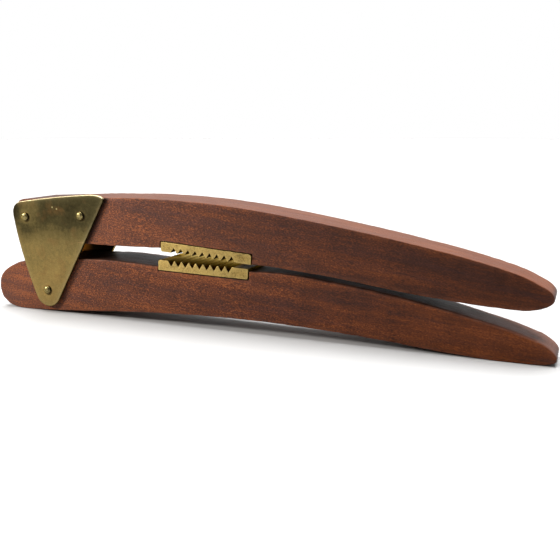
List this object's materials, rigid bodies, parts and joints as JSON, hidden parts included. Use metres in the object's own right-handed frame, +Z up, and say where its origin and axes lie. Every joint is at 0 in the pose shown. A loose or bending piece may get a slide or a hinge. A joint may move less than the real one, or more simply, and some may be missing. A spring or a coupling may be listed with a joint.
{
  "type": "lever nutcracker",
  "caption": "Hand-held cracker with curved hardwood levers, a riveted brass plate hinge at the heel and toothed brass jaws set into the wood.",
  "frame": {"origin": "on the plane that the lower lever stands on, below the middle of the tool's overall box", "axes": "+X from the hinge end to the handle tips, +Y across the levers from the front face to the back face, +Z up"},
  "size_m": [0.2304, 0.0278, 0.0507],
  "materials": {
    "hardwood": "satin oiled reddish-brown hardwood",
    "plate_brass": "aged olive-gold brass, mottled",
    "jaw_brass": "cast yellow brass, granular",
    "pin_brass": "worn brass"
  },
  "bodies": {
    "lower_arm": {"lower_lever": "hardwood", "lower_jaw": "jaw_brass", "lower_jaw_heel_pin": "pin_brass", "lower_jaw_tip_pin": "pin_brass", "pivot_rivet": "pin_brass"},
    "upper_arm": {"upper_lever": "hardwood", "upper_jaw": "jaw_brass", "upper_jaw_heel_pin": "pin_brass", "upper_jaw_tip_pin": "pin_brass", "front_hinge_plate": "plate_brass", "back_hinge_plate": "plate_brass", "heel_fixing_rivet": "pin_brass", "inner_fixing_rivet": "pin_brass"}
  },
  "joints": [
    {"name": "lever_hinge", "type": "hinge", "parent": "lower_arm", "child": "upper_arm", "pos_m": [-0.0877, 0, 0.0098], "axis": [0, -1, 0], "range_deg": [-0.5, 41.8]}
  ]
}
